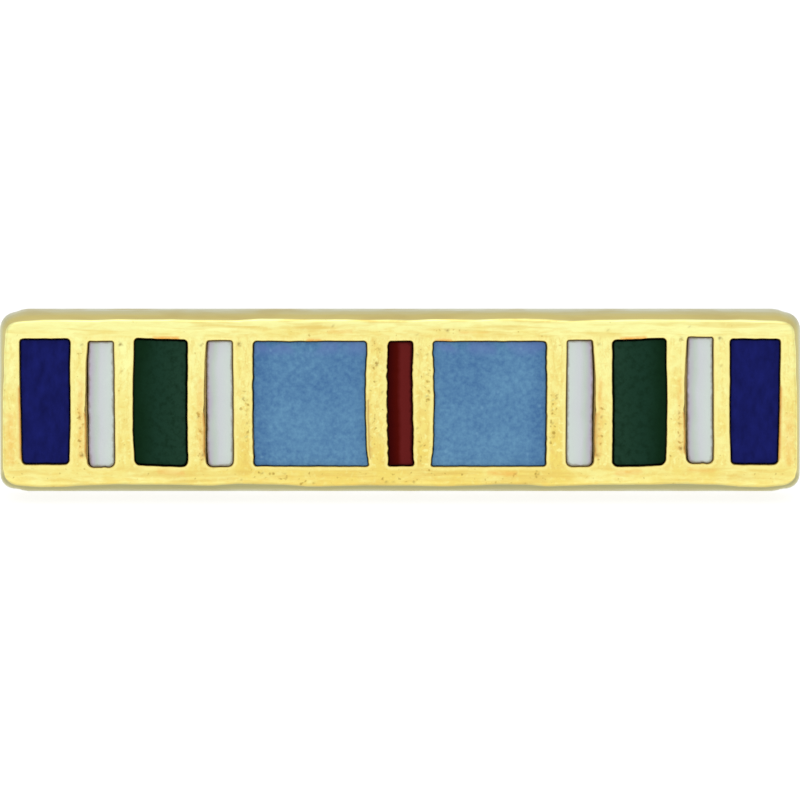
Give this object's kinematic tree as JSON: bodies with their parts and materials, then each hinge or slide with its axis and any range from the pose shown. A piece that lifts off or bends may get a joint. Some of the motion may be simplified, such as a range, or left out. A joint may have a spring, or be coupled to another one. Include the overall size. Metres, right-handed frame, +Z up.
{
  "type": "medal lapel pin",
  "caption": "Gilt metal lapel pin in the form of a straight medal ribbon bar, with upright enamel stripes in sunk cells and a post soldered to its back.",
  "frame": {"origin": "middle of the resting pin's footprint, on the surface that it rests on", "axes": "+X along the bar, to the right as the face is seen; the face looks towards -Y and a little up; +Y towards the post's end; +Z up"},
  "size_m": [0.0176, 0.0094, 0.004],
  "materials": {
    "gilt_brass": "gold plated and polished",
    "enamel_navy": "opaque enamel, satin",
    "enamel_white": "opaque enamel, satin",
    "enamel_green": "opaque enamel, satin",
    "enamel_sky": "opaque enamel, satin",
    "enamel_red": "opaque enamel, satin"
  },
  "bodies": {
    "root": {"bar_and_post": "gilt_brass", "enamel_navy_left": "enamel_navy", "enamel_white_left_outer": "enamel_white", "enamel_green_left": "enamel_green", "enamel_white_left_inner": "enamel_white", "enamel_sky_left": "enamel_sky", "enamel_red_centre": "enamel_red", "enamel_sky_right": "enamel_sky", "enamel_white_right_inner": "enamel_white", "enamel_green_right": "enamel_green", "enamel_white_right_outer": "enamel_white", "enamel_navy_right": "enamel_navy"}
  },
  "joints": []
}
